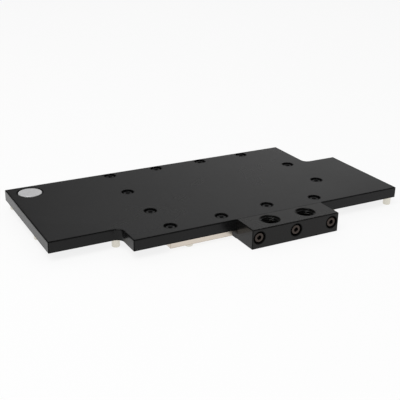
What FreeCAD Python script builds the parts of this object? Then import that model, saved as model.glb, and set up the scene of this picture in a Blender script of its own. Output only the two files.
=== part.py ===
import FreeCAD, Part

import math
import os
import re

import Sketcher

# Liquid cooling cold plate for a graphics processor board.
# Frame: millimetres, +X along the plate's length, +Y from the terminal to the back edge, +Z up.
# The origin is the centre of the four bolts round the chip, on the board's face, where the
# standoffs end. The plate's front edge and the terminal lie towards -Y.

# Driving dimensions: alias, value, meaning.
SIZES = [
    # Cover plate outline
    ("plate_length", 262.0, "cover, left end to right end"),
    ("main_depth", 118.9, "cover, front edge of the main part to the back edge"),
    ("chip_offset", 13.2, "chip centre to the right of the plate's middle"),
    ("chip_from_front", 63.8, "chip centre from the front edge of the main part"),
    ("wide_left", 95.3, "chip centre to the left end of the wide part"),
    ("left_step_depth", 20.6, "narrow left part, how far its front edge stands back"),
    ("wide_right", 89.3, "chip centre to the right end of the wide part"),
    ("right_step_depth", 42.4, "narrow right part, how far its back edge stands forward"),
    ("step_radius", 5.0, "radius in the two inner corners of the outline"),
    ("cover_thickness", 8.0, "cover, plate thickness"),
    ("edge_break", 0.3, "small chamfer along the machined edges"),
    # Stack above the board
    ("board_gap", 2.0, "board's face to the base's underside"),
    ("base_thickness", 4.0, "base plate thickness"),
    ("chip_rise", 2.8, "board's face to the chip's top, where the contact face lies"),
    # Coolant chamber in the cover's underside
    ("chamber_left", 57.7, "chip centre to the chamber's left wall"),
    ("chamber_right", 65.3, "chip centre to the chamber's right wall"),
    ("chamber_front", 43.0, "chip centre to the chamber's front wall"),
    ("chamber_back_wall", 13.6, "chamber's back wall inside the cover's back edge"),
    ("chamber_depth", 5.0, "depth of the chamber, duct and inner passages"),
    ("chamber_radius", 8.0, "radius of the chamber's outer corners"),
    ("divider_width", 18.0, "tongue that carries the inlet duct, across"),
    ("divider_reach", 20.0, "tongue, how far it runs past the chip centre"),
    ("divider_wall", 3.0, "wall round the inlet duct"),
    ("divider_radius", 5.0, "radius at the tongue's end and in the duct's end"),
    ("guide_width", 3.0, "flow guide, thickness"),
    ("guide_front_gap", 18.0, "chamber's front wall to a flow guide"),
    ("guide_back_gap", 16.5, "chamber's back wall to a flow guide"),
    ("guide_left", 36.0, "left flow guide from the chip centre"),
    ("guide_right", 48.0, "right flow guide from the chip centre"),
    # Jet plate and fins
    ("jet_length", 28.0, "jet plate along X"),
    ("jet_width", 36.0, "jet plate along Y"),
    ("jet_thickness", 1.0, "jet plate thickness"),
    ("jet_slot_width", 2.5, "jet slot across"),
    ("jet_slot_length", 26.0, "jet slot, end to end"),
    ("jet_gap", 0.1, "clearance round the jet plate in its recess"),
    ("fin_length", 34.0, "fins along X"),
    ("fin_pitch", 0.8, "fin pitch along Y"),
    ("fin_slot", 0.4, "channel between two fins"),
    ("fin_depth", 1.8, "channel depth below the base's top"),
    ("fin_count", 37, "number of channels"),
    ("trough_width", 4.0, "collecting trough at each end of the fins"),
    ("trough_depth", 1.4, "trough depth below the base's top"),
    # Underside over the chip
    ("package_size", 46.0, "square clearance round the chip's package"),
    ("package_rise", 3.3, "board's face to the clearance's ceiling"),
    ("contact_size", 30.0, "square contact face on the chip"),
    # Seal between the cover and the base
    ("seal_offset", 2.2, "chamber wall to the seal's centre line"),
    ("seal_width", 1.8, "seal groove width"),
    ("seal_depth", 1.2, "seal groove depth"),
    ("seal_gap", 0.05, "clearance beside a seal in its groove"),
    # Base plate outline
    ("base_inset", 1.5, "base edge inside the cover's front and back edges"),
    ("base_margin", 2.9, "base edge outside the screw columns"),
    ("base_corner_cut", 14.0, "cut at the base's two right corners"),
    ("boss_depth", 6.0, "thick boss of the cover behind the terminal"),
    ("boss_gap", 0.4, "base to the boss's back"),
    ("boss_side_gap", 2.0, "base to the boss's sides"),
    # Cover screws
    ("front_row", 53.8, "chip centre to the front screw row"),
    ("back_row_inset", 4.8, "back screw row inside the cover's back edge"),
    ("left_column", 65.9, "chip centre to the left screw column"),
    ("right_column", 73.3, "chip centre to the right screw column"),
    ("row_start", 64.85, "chip centre to the first screw of both rows"),
    ("front_pitch", 38.4, "pitch of the front row"),
    ("back_pitch", 38.8, "pitch of the back row"),
    ("column_start", 25.1, "chip centre to the first screw of both columns"),
    ("column_pitch", 38.8, "pitch of the columns"),
    ("middle_setback", 3.1, "front row's third screw stands back by this"),
    ("screw_diameter", 4.0, "screw thread, outside diameter"),
    ("head_diameter", 7.0, "screw head diameter"),
    ("head_height", 4.0, "screw head height"),
    ("head_break", 0.4, "chamfer on the screw head"),
    ("socket_flats", 3.0, "hexagon socket across flats"),
    ("socket_depth", 2.0, "hexagon socket depth"),
    ("screw_length", 6.0, "cover screw, length under the head"),
    ("screw_clearance", 4.5, "through hole for a screw"),
    ("thread_gap", 0.05, "clearance between a thread and its hole, on the radius"),
    ("recess_diameter", 8.6, "recess for a cover screw's head"),
    ("head_sink", 0.6, "cover screw head below the surface"),
    # Terminal block
    ("terminal_width", 69.2, "terminal along X"),
    ("terminal_depth", 20.2, "terminal along Y"),
    ("port_spacing", 28.8, "centre to centre of the two ports"),
    ("port_from_front", 10.9, "port centre from the terminal's front face"),
    ("port_diameter", 13.157, "port thread, outside diameter of G1/4"),
    ("port_drill", 11.8, "bore drilled through before the port is threaded from both ends"),
    ("port_thread_length", 5.0, "upper thread, from the terminal's top"),
    ("port_break", 0.3, "chamfer at the port's mouth"),
    ("front_screw_spacing", 29.1, "pitch of the three terminal screws"),
    ("front_screw_rise", 7.7, "terminal screws above the board's face"),
    ("front_recess", 8.8, "recess for a terminal screw's head"),
    ("front_sink", 0.15, "terminal screw head below the face"),
    ("front_screw_length", 20.0, "terminal screw, length under the head"),
    ("front_hole_depth", 5.0, "threaded hole in the cover's front"),
    ("passage_width", 12.0, "coolant passage across"),
    ("passage_floor", 5.0, "terminal passage, floor above the board's face"),
    ("passage_height", 4.0, "terminal passage, floor to ceiling"),
    ("passage_reach", 4.5, "terminal passage, how far it runs into the boss"),
    ("passage_web", 2.0, "wall in front of the raised inner passage"),
    ("passage_wall", 1.0, "wall under the raised inner passage"),
    ("face_seal_margin", 1.0, "passage edge to the face seal's groove"),
    ("face_seal_width", 1.6, "face seal groove width"),
    ("face_seal_depth", 1.0, "face seal groove depth"),
    # Blanking plugs in the lower ports
    ("plug_collar", 16.0, "plug collar diameter"),
    ("plug_collar_gap", 0.2, "clearance round the collar"),
    ("plug_collar_thickness", 1.2, "plug collar thickness"),
    ("plug_sink", 0.2, "plug collar above the terminal's underside"),
    ("plug_thread_length", 3.6, "plug thread length, from the collar"),
    ("plug_flats", 6.0, "plug socket across flats"),
    ("plug_socket_depth", 2.6, "plug socket depth"),
    ("washer_thickness", 0.6, "seal under the plug's collar"),
    ("washer_diameter", 15.6, "seal under the plug's collar, outside diameter"),
    # Badge
    ("badge_diameter", 16.8, "badge disc diameter"),
    ("badge_ring", 0.7, "open ring round the badge"),
    ("badge_thickness", 1.1, "badge disc thickness"),
    ("badge_sink", 0.1, "badge below the cover's top"),
    ("badge_from_left", 14.8, "badge centre from the left end"),
    ("badge_from_back", 12.3, "badge centre from the back edge"),
    # Standoffs
    ("standoff_diameter", 5.5, "standoff body diameter"),
    ("standoff_break", 0.3, "chamfer at the standoff's foot"),
    ("stud_diameter", 3.0, "threaded stud of a standoff"),
    ("cover_stud_length", 3.5, "stud length in the cover"),
    ("base_stud_length", 2.5, "stud length in the base"),
    ("stud_hole_spare", 0.3, "blind hole deeper than the stud"),
    ("board_bore", 2.05, "tapped bore for the board's screw"),
    ("board_bore_depth", 3.4, "depth of the tapped bore"),
    ("corner_inset", 3.8, "corner standoffs from the cover's edges"),
    ("left_inset", 4.8, "left standoffs from the cover's left end"),
    ("left_front_offset", 37.4, "left front standoff from the narrow part's front edge"),
    ("notch_inset", 2.1, "notch standoff from the step, along X"),
    ("notch_setback", 4.0, "notch standoff from the narrow part's front edge"),
    ("middle_standoff_left", 53.8, "chip centre to the front middle standoff, along X"),
    ("middle_standoff_inset", 3.3, "front middle standoff from the base's front edge"),
    ("chip_bolt_spacing", 58.4, "square of the four standoffs round the chip"),
    # Clearance pockets over tall parts of the board
    ("relief_wall", 8.0, "solid rim round the clearance pockets"),
    ("relief_rib", 4.0, "rib between the two left pockets"),
    ("relief_depth", 4.0, "clearance pocket depth"),
    ("relief_radius", 5.0, "radius in the clearance pockets' corners"),
]

# Places worked out from the driving dimensions, as expressions in the same words.
PLACES = {
    "left_edge": "-plate_length / 2 - chip_offset",
    "right_edge": "plate_length / 2 - chip_offset",
    "front_edge": "-chip_from_front",
    "back_edge": "main_depth - chip_from_front",
    "left_step_x": "-wide_left",
    "left_step_y": "front_edge + left_step_depth",
    "right_step_x": "wide_right",
    "right_step_y": "back_edge - right_step_depth",
    "base_top": "board_gap + base_thickness",
    "cover_top": "base_top + cover_thickness",
    "chamber_top": "base_top + chamber_depth",
    "chamber_back": "back_edge - chamber_back_wall",
    "guide_front": "guide_front_gap - chamber_front",
    "guide_back": "chamber_back - guide_back_gap",
    "back_row": "back_edge - back_row_inset",
    "base_left": "-left_column - base_margin",
    "base_right": "right_column + base_margin",
    "base_front": "front_edge + base_inset",
    "base_back": "back_edge - base_inset",
    "terminal_middle": "port_spacing / 2",
    "terminal_left": "terminal_middle - terminal_width / 2",
    "terminal_right": "terminal_middle + terminal_width / 2",
    "terminal_front": "front_edge - terminal_depth",
    "port_y": "terminal_front + port_from_front",
    "boss_back": "front_edge + boss_depth",
    "duct_half": "divider_width / 2 - divider_wall",
    "passage_middle": "passage_floor + passage_height / 2",
    "passage_half": "passage_height / 2",
    "inner_floor": "base_top + passage_wall",
    "screw_hole": "screw_diameter + 2 * thread_gap",
    "stud_hole": "stud_diameter + 2 * thread_gap",
    "recess_floor": "cover_top - head_sink - head_height",
    "front_recess_depth": "front_sink + head_height",
    "port_recess": "plug_sink + plug_collar_thickness + washer_thickness",
    "plug_top": "plug_sink + plug_collar_thickness + plug_thread_length",
    "badge_recess": "badge_thickness + badge_sink",
    "badge_hole": "badge_diameter + 2 * badge_ring",
    "fin_width": "(fin_count - 1) * fin_pitch + fin_slot",
    "relief_front": "left_step_y + relief_wall",
    "relief_left": "left_edge + relief_wall",
    "relief_right": "base_left - relief_wall",
    "relief_middle": "(relief_left + relief_right) / 2",
}

# Ports and the passages behind them, by node name: place along X.
PORTS = {"inlet": "0", "outlet": "port_spacing"}

# The twelve cover screws: two rows of four and two columns of two.
COVER_SCREWS = (
    [(f"{n} * back_pitch - row_start", "back_row") for n in range(4)]
    + [(f"{n} * front_pitch - row_start", "-front_row") for n in (0, 1, 3)]
    + [("2 * front_pitch - row_start", "middle_setback - front_row")]
    + [("-left_column", f"{n} * column_pitch - column_start") for n in range(2)]
    + [("right_column", f"{n} * column_pitch - column_start") for n in range(2)]
)

TERMINAL_SCREWS = [f"terminal_middle + {n} * front_screw_spacing" for n in (-1, 0, 1)]

# Standoffs that hang from the cover and from the base: node name and place.
COVER_STANDOFFS = {
    "standoff_left_back": ("left_edge + left_inset", "back_edge - corner_inset"),
    "standoff_left_front": ("left_edge + left_inset", "left_step_y + left_front_offset"),
    "standoff_notch": ("left_step_x - notch_inset", "left_step_y + notch_setback"),
    "standoff_right_front": ("right_edge - corner_inset", "front_edge + corner_inset"),
    "standoff_right_back": ("right_edge - corner_inset", "right_step_y - corner_inset"),
}
BASE_STANDOFFS = {
    "standoff_front_middle": ("-middle_standoff_left", "base_front + middle_standoff_inset"),
    "standoff_chip_front_left": ("-chip_bolt_spacing / 2", "-chip_bolt_spacing / 2"),
    "standoff_chip_front_right": ("chip_bolt_spacing / 2", "-chip_bolt_spacing / 2"),
    "standoff_chip_back_left": ("-chip_bolt_spacing / 2", "chip_bolt_spacing / 2"),
    "standoff_chip_back_right": ("chip_bolt_spacing / 2", "chip_bolt_spacing / 2"),
}

TOUCH = 1e-4
UP = True
ALIASES = {alias for alias, _, _ in SIZES}
WORD = re.compile(r"[a-z]+(?:_[a-z]+)*")

doc = FreeCAD.newDocument("ColdPlate")
sheet = doc.addObject("Spreadsheet::Sheet", "Sizes")
for row, (alias, size, meaning) in enumerate(SIZES, start=1):
    sheet.set(f"A{row}", meaning)
    sheet.set(f"B{row}", str(size))
    sheet.setAlias(f"B{row}", alias)
doc.recompute()
nodes = []


def sized(text):
    """Write an expression in the sheet's terms, with each place put in as its own expression."""
    def swap(match):
        word = match.group(0)
        if word in ALIASES:
            return f"Sizes.{word}"
        if word in PLACES:
            return f"({sized(PLACES[word])})"
        return word
    return WORD.sub(swap, text)


def value(text):
    """The number that an expression gives now."""
    return float(sheet.evalExpression(sized(text)))


def bind(item, name, text):
    item.setExpression(name, sized(text))


def new_body(name):
    body = doc.addObject("PartDesign::Body", name)
    body.Label = name
    return body


def new_sketch(body, name, role="XY_Plane", offset="0"):
    """A sketch on one of the body's own planes, moved along the plane's normal."""
    plane = next(item for item in body.Origin.OriginFeatures if item.Role == role)
    sketch = body.newObject("Sketcher::SketchObject", f"{body.Name}_{name}")
    sketch.AttachmentSupport = (plane, [""])
    sketch.MapMode = "FlatFace"
    bind(sketch, "AttachmentOffset.Base.z", offset)
    return sketch


def rule(sketch, text, *constraint):
    """Add a constraint whose value is an expression."""
    number = sketch.addConstraint(Sketcher.Constraint(*constraint, value(text)))
    name = f"size{number}"
    sketch.renameConstraint(number, name)
    bind(sketch, f"Constraints.{name}", text)


def fix_point(sketch, geometry, point, x, y):
    rule(sketch, x, "DistanceX", -1, 1, geometry, point)
    rule(sketch, y, "DistanceY", -1, 1, geometry, point)


def add_line(sketch, start, end):
    return sketch.addGeometry(Part.LineSegment(FreeCAD.Vector(*start), FreeCAD.Vector(*end)), False)


def add_arc(sketch, centre, radius, start, end):
    circle = Part.Circle(FreeCAD.Vector(*centre), FreeCAD.Vector(0, 0, 1), radius)
    return sketch.addGeometry(Part.ArcOfCircle(circle, math.radians(start), math.radians(end)), False)


def polygon(sketch, corners):
    """A closed outline through corners, each held by its two expressions."""
    places = [(value(x), value(y)) for x, y in corners]
    lines = [add_line(sketch, place, places[(n + 1) % len(places)])
             for n, place in enumerate(places)]
    for n, line in enumerate(lines):
        sketch.addConstraint(Sketcher.Constraint("Coincident", line, 2, lines[(n + 1) % len(lines)], 1))
    for line, (x, y) in zip(lines, corners):
        fix_point(sketch, line, 1, x, y)


def rectangle(sketch, left, front, right, back):
    polygon(sketch, [(left, front), (right, front), (right, back), (left, back)])


def circle(sketch, x, y, diameter):
    place = FreeCAD.Vector(value(x), value(y), 0)
    ring = Part.Circle(place, FreeCAD.Vector(0, 0, 1), value(diameter) / 2)
    number = sketch.addGeometry(ring, False)
    fix_point(sketch, number, 3, x, y)
    rule(sketch, diameter, "Diameter", number)


def stadium(sketch, start, end, y, radius):
    """A slot outline: two half circles joined by two lines, centres at start and end."""
    x0, x1, middle, r = value(start), value(end), value(y), value(radius)
    near = add_arc(sketch, (x0, middle), r, 90, 270)
    low = add_line(sketch, (x0, middle - r), (x1, middle - r))
    far = add_arc(sketch, (x1, middle), r, -90, 90)
    high = add_line(sketch, (x1, middle + r), (x0, middle + r))
    loop = [near, low, far, high]
    for n, item in enumerate(loop):
        sketch.addConstraint(Sketcher.Constraint("Tangent", item, 2, loop[(n + 1) % 4], 1))
    sketch.addConstraint(Sketcher.Constraint("Equal", near, far))
    rule(sketch, radius, "Radius", near)
    fix_point(sketch, near, 3, start, y)
    fix_point(sketch, far, 3, end, y)


def rounded_rectangle(sketch, left, front, right, back, radius):
    """Four lines joined by four equal arcs."""
    x0, y0, x1, y1, r = (value(text) for text in (left, front, right, back, radius))
    loop = [
        add_line(sketch, (x0 + r, y0), (x1 - r, y0)),
        add_arc(sketch, (x1 - r, y0 + r), r, -90, 0),
        add_line(sketch, (x1, y0 + r), (x1, y1 - r)),
        add_arc(sketch, (x1 - r, y1 - r), r, 0, 90),
        add_line(sketch, (x1 - r, y1), (x0 + r, y1)),
        add_arc(sketch, (x0 + r, y1 - r), r, 90, 180),
        add_line(sketch, (x0, y1 - r), (x0, y0 + r)),
        add_arc(sketch, (x0 + r, y0 + r), r, 180, 270),
    ]
    for n, item in enumerate(loop):
        sketch.addConstraint(Sketcher.Constraint("Tangent", item, 2, loop[(n + 1) % 8], 1))
    for line in (loop[0], loop[4]):
        sketch.addConstraint(Sketcher.Constraint("Horizontal", line))
    for line in (loop[2], loop[6]):
        sketch.addConstraint(Sketcher.Constraint("Vertical", line))
    for arc in (loop[3], loop[5], loop[7]):
        sketch.addConstraint(Sketcher.Constraint("Equal", loop[1], arc))
    rule(sketch, radius, "Radius", loop[1])
    rule(sketch, front, "DistanceY", -1, 1, loop[0], 1)
    rule(sketch, right, "DistanceX", -1, 1, loop[2], 1)
    rule(sketch, back, "DistanceY", -1, 1, loop[4], 1)
    rule(sketch, left, "DistanceX", -1, 1, loop[6], 1)


def hexagon(sketch, x, y, flats):
    """A hexagon with two corners level with its centre."""
    corners = []
    for n in range(6):
        across, along = f"cos({60 * n} deg)", f"sin({60 * n} deg)"
        corners.append((f"{x} + {flats} / sqrt(3) * {across}", f"{y} + {flats} / sqrt(3) * {along}"))
    polygon(sketch, corners)


def extrude(body, kind, name, sketch, length, reverse=False):
    """Pad or pocket a sketch, and check that the solid grew or shrank."""
    before = body.Tip.Shape.Volume if body.Tip else 0
    feature = body.newObject(f"PartDesign::{kind}", f"{body.Name}_{name}")
    feature.Profile = sketch
    feature.Reversed = reverse
    bind(feature, "Length", length)
    doc.recompute()
    change = feature.Shape.Volume - before
    if (change if kind == "Pad" else -change) <= TOUCH:
        raise RuntimeError(f"{feature.Name} changed the solid by {change:.4f}")
    return feature


def pad(body, name, sketch, length, reverse=False):
    return extrude(body, "Pad", name, sketch, length, reverse)


def pocket(body, name, sketch, length, reverse=False):
    return extrude(body, "Pocket", name, sketch, length, reverse)


def hole(body, name, sketch, diameter, depth=None, cut=None):
    """Drill at each circle of a sketch, through all or to a flat-bottomed depth, with a counterbore."""
    doc.recompute()
    before = body.Tip.Shape.Volume
    feature = body.newObject("PartDesign::Hole", f"{body.Name}_{name}")
    feature.Profile = sketch
    doc.recompute()
    feature.ThreadType = "None"
    bind(feature, "Diameter", diameter)
    feature.DepthType = "Dimension" if depth else "ThroughAll"
    if depth:
        bind(feature, "Depth", depth)
        feature.DrillPoint = "Flat"
    if cut:
        feature.HoleCutType = "Counterbore"
        feature.HoleCutCustomValues = True
        bind(feature, "HoleCutDiameter", cut[0])
        bind(feature, "HoleCutDepth", cut[1])
    doc.recompute()
    if before - feature.Shape.Volume <= TOUCH:
        raise RuntimeError(f"{feature.Name} drilled nothing")
    return feature


def upright_edges(shape, places):
    """Names of the upright edges that stand at the given places."""
    names = []
    for number, edge in enumerate(shape.Edges, start=1):
        ends = [vertex.Point for vertex in edge.Vertexes]
        if len(ends) != 2 or abs(ends[0].z - ends[1].z) < TOUCH:
            continue
        for x, y in places:
            if all(math.hypot(end.x - value(x), end.y - value(y)) < 1e-3 for end in ends):
                names.append(f"Edge{number}")
    return names


def level_edges(shape, height, keep=lambda edge: True):
    """Names of the edges that lie at one height."""
    return [
        f"Edge{number}" for number, edge in enumerate(shape.Edges, start=1)
        if all(abs(vertex.Point.z - height) < 1e-3 for vertex in edge.Vertexes)
        and abs(edge.BoundBox.ZLength) < 1e-3 and keep(edge)
    ]


def dress(body, kind, name, edges, size):
    """Fillet or chamfer edges of the body's tip."""
    base = body.Tip
    feature = body.newObject(f"PartDesign::{kind}", f"{body.Name}_{name}")
    feature.Base = (base, edges)
    bind(feature, "Radius" if kind == "Fillet" else "Size", size)
    doc.recompute()
    return feature


def place(item, x="0", y="0", z="0"):
    """Bind a finished piece's placement."""
    for axis, text in (("x", x), ("y", y), ("z", z)):
        bind(item, f"Placement.Base.{axis}", text)


def keep(item):
    nodes.append(item)
    return item


def cover_outline(sketch):
    polygon(sketch, [
        ("left_edge", "left_step_y"), ("left_step_x", "left_step_y"),
        ("left_step_x", "front_edge"), ("right_edge", "front_edge"),
        ("right_edge", "right_step_y"), ("right_step_x", "right_step_y"),
        ("right_step_x", "back_edge"), ("left_edge", "back_edge"),
    ])


def build_cover_plate():
    """Full-length cover: coolant chamber, inlet duct, passages, boss, screw recesses, badge seat."""
    body = new_body("cover_plate")

    outline = new_sketch(body, "outline", offset="base_top")
    cover_outline(outline)
    plate = pad(body, "plate", outline, "cover_thickness")
    inner_corners = [("left_step_x", "left_step_y"), ("right_step_x", "right_step_y")]
    dress(body, "Fillet", "steps", upright_edges(plate.Shape, inner_corners), "step_radius")
    rims = level_edges(body.Tip.Shape, value("cover_top")) + level_edges(body.Tip.Shape, value("base_top"))
    dress(body, "Chamfer", "rims", rims, "edge_break")

    boss = new_sketch(body, "boss_outline")
    rectangle(boss, "terminal_left", "front_edge", "terminal_right", "boss_back")
    pad(body, "boss", boss, "base_top + edge_break")

    cut_chamber(body)
    cut_passages(body)
    cut_cover_holes(body)
    cut_reliefs(body)
    return keep(body)


def cut_chamber(body):
    """Return chamber with a tongue for the inlet duct, two flow guides and the jet plate's seat."""
    half = "divider_width / 2"
    chamber = new_sketch(body, "chamber_outline", offset="base_top")
    corners = [
        ("-chamber_left", "-chamber_front"), (f"-{half}", "-chamber_front"),
        (f"-{half}", "divider_reach"), (half, "divider_reach"),
        (half, "-chamber_front"), ("chamber_right", "-chamber_front"),
        ("chamber_right", "chamber_back"), ("-chamber_left", "chamber_back"),
    ]
    polygon(chamber, corners)
    milled = pocket(body, "chamber", chamber, "chamber_depth", UP)
    outer = [corners[0], corners[5], corners[6], corners[7]]
    dress(body, "Fillet", "chamber_corners", upright_edges(milled.Shape, outer), "chamber_radius")
    tongue = [corners[2], corners[3]]
    dress(body, "Fillet", "tongue_end", upright_edges(body.Tip.Shape, tongue), "divider_radius")

    duct = new_sketch(body, "duct_outline", offset="base_top")
    duct_end = "divider_reach - divider_wall"
    rectangle(duct, "-duct_half", "-chamber_front", "duct_half", duct_end)
    pocket(body, "duct", duct, "chamber_depth", UP)
    ends = [("-duct_half", duct_end), ("duct_half", duct_end)]
    dress(body, "Fillet", "duct_end", upright_edges(body.Tip.Shape, ends),
          "min(divider_radius; duct_half * 0.9)")

    for side, middle in (("left", "-guide_left"), ("right", "guide_right")):
        guide = new_sketch(body, f"guide_{side}_outline", offset="base_top")
        rectangle(guide, f"{middle} - guide_width / 2", "guide_front",
                  f"{middle} + guide_width / 2", "guide_back")
        pad(body, f"guide_{side}", guide, "chamber_depth")

    seat = new_sketch(body, "jet_seat_outline", offset="base_top")
    rectangle(seat, "-jet_length / 2 - jet_gap", "-jet_width / 2 - jet_gap",
              "jet_length / 2 + jet_gap", "jet_width / 2 + jet_gap")
    pocket(body, "jet_seat", seat, "jet_thickness", UP)


def cut_passages(body):
    """Two passages: a slot from the terminal into the boss, then a raised slot into the chamber."""
    entry = new_sketch(body, "entry_outline", "XZ_Plane", "-front_edge")
    for x in PORTS.values():
        stadium(entry, f"{x} - passage_width / 2 + passage_half",
                f"{x} + passage_width / 2 - passage_half", "passage_middle", "passage_half")
    pocket(body, "entries", entry, "passage_reach")

    raised = new_sketch(body, "raised_outline", "XZ_Plane", "-front_edge - passage_web")
    for x in PORTS.values():
        rectangle(raised, f"{x} - passage_width / 2", "inner_floor",
                  f"{x} + passage_width / 2", "chamber_top")
    pocket(body, "raised_passages", raised, "-front_edge - passage_web - chamber_front")


def cut_cover_holes(body):
    """Counterbored screw holes, the badge seat, and threaded holes for standoffs and terminal."""
    screws = new_sketch(body, "screw_places", offset="cover_top")
    for x, y in COVER_SCREWS:
        circle(screws, x, y, "screw_clearance")
    hole(body, "screw_holes", screws, "screw_clearance",
         cut=("recess_diameter", "head_sink + head_height"))

    badge = new_sketch(body, "badge_outline", offset="cover_top")
    circle(badge, "left_edge + badge_from_left", "back_edge - badge_from_back", "badge_hole")
    pocket(body, "badge_seat", badge, "badge_recess")

    studs = new_sketch(body, "stud_places", offset="base_top")
    for x, y in COVER_STANDOFFS.values():
        circle(studs, x, y, "stud_hole")
    pocket(body, "stud_holes", studs, "cover_stud_length + stud_hole_spare", UP)

    front = new_sketch(body, "front_screw_places", "XZ_Plane", "-front_edge")
    for x in TERMINAL_SCREWS:
        circle(front, x, "front_screw_rise", "screw_hole")
    pocket(body, "front_screw_holes", front, "front_hole_depth")


def cut_reliefs(body):
    """Clearance pockets in the underside, over tall parts at both ends of the board."""
    relief = new_sketch(body, "relief_outline", offset="base_top")
    back = "back_edge - relief_wall"
    for left, front, right, rear in (
        ("relief_left", "relief_front", "relief_middle - relief_rib / 2", back),
        ("relief_middle + relief_rib / 2", "relief_front", "relief_right", back),
        ("base_right + relief_wall", "front_edge + relief_wall",
         "right_edge - relief_wall", "right_step_y - relief_wall"),
    ):
        radius = f"min(relief_radius; ({right} - ({left})) * 0.45)"
        rounded_rectangle(relief, left, front, right, rear, radius)
    pocket(body, "reliefs", relief, "relief_depth", UP)


def seal_loops(sketch, spare):
    """The chamber seal's two edges, each moved into the groove by spare."""
    for side in (1, -1):
        out = f"(seal_offset + {side} * (seal_width / 2 - {spare}))"
        rounded_rectangle(sketch, f"-chamber_left - {out}", f"-chamber_front - {out}",
                          f"chamber_right + {out}", f"chamber_back + {out}",
                          f"chamber_radius + {out}")


def build_base_plate():
    """Nickel-plated base: fins, troughs, seal groove, chip contact face and threaded holes."""
    body = new_body("base_plate")

    notch_left = "terminal_left - boss_side_gap"
    notch_right = "terminal_right + boss_side_gap"
    notch_back = "boss_back + boss_gap"
    outline = new_sketch(body, "outline", offset="board_gap")
    polygon(outline, [
        ("base_left", "base_front"), (notch_left, "base_front"),
        (notch_left, notch_back), (notch_right, notch_back),
        (notch_right, "base_front"), ("base_right - base_corner_cut", "base_front"),
        ("base_right", "base_front + base_corner_cut"),
        ("base_right", "base_back - base_corner_cut"),
        ("base_right - base_corner_cut", "base_back"), ("base_left", "base_back"),
    ])
    pad(body, "plate", outline, "base_thickness")

    slot = new_sketch(body, "fin_slot_outline", offset="base_top")
    rectangle(slot, "-fin_length / 2", "-fin_width / 2", "fin_length / 2", "fin_slot - fin_width / 2")
    first = pocket(body, "fin_slot", slot, "fin_depth")
    pattern = body.newObject("PartDesign::LinearPattern", "base_plate_fins")
    pattern.Originals = [first]
    pattern.Direction = (slot, ["V_Axis"])
    bind(pattern, "Length", "(fin_count - 1) * fin_pitch")
    bind(pattern, "Occurrences", "fin_count")
    body.Tip = pattern
    doc.recompute()

    troughs = new_sketch(body, "trough_outlines", offset="base_top")
    near, far = "fin_length / 2", "(fin_length / 2 + trough_width)"
    rectangle(troughs, near, "-fin_width / 2", far, "fin_width / 2")
    rectangle(troughs, f"-{far}", "-fin_width / 2", f"-{near}", "fin_width / 2")
    pocket(body, "troughs", troughs, "trough_depth")

    groove = new_sketch(body, "seal_groove_outline", offset="base_top")
    seal_loops(groove, "0")
    pocket(body, "seal_groove", groove, "seal_depth")

    package = new_sketch(body, "package_outline", offset="board_gap")
    for size in ("package_size", "contact_size"):
        rectangle(package, f"-{size} / 2", f"-{size} / 2", f"{size} / 2", f"{size} / 2")
    pocket(body, "package_pocket", package, "package_rise - board_gap", UP)
    contact = new_sketch(body, "contact_outline", offset="board_gap")
    rectangle(contact, "-contact_size / 2", "-contact_size / 2", "contact_size / 2", "contact_size / 2")
    pocket(body, "contact_face", contact, "chip_rise - board_gap", UP)

    screws = new_sketch(body, "screw_places", offset="base_top")
    for x, y in COVER_SCREWS:
        circle(screws, x, y, "screw_hole")
    hole(body, "screw_holes", screws, "screw_hole")

    studs = new_sketch(body, "stud_places", offset="board_gap")
    for x, y in BASE_STANDOFFS.values():
        circle(studs, x, y, "stud_hole")
    pocket(body, "stud_holes", studs, "base_stud_length + stud_hole_spare", UP)
    return keep(body)


def build_jet_plate():
    """Thin plate over the fins, with the slot that feeds them along their middle."""
    body = new_body("jet_plate")
    outline = new_sketch(body, "outline", offset="base_top")
    rectangle(outline, "-jet_length / 2", "-jet_width / 2", "jet_length / 2", "jet_width / 2")
    pad(body, "plate", outline, "jet_thickness")
    slot = new_sketch(body, "slot_outline", offset="base_top")
    rectangle(slot, "-jet_slot_width / 2", "-jet_slot_length / 2",
              "jet_slot_width / 2", "jet_slot_length / 2")
    pocket(body, "slot", slot, "jet_thickness", UP)
    return keep(body)


def build_chamber_seal():
    """Rubber ring in the base's groove, pressed flat by the cover."""
    body = new_body("chamber_seal")
    loop = new_sketch(body, "loop", offset="base_top - seal_depth")
    seal_loops(loop, "seal_gap")
    pad(body, "ring", loop, "seal_depth")
    return keep(body)


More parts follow.
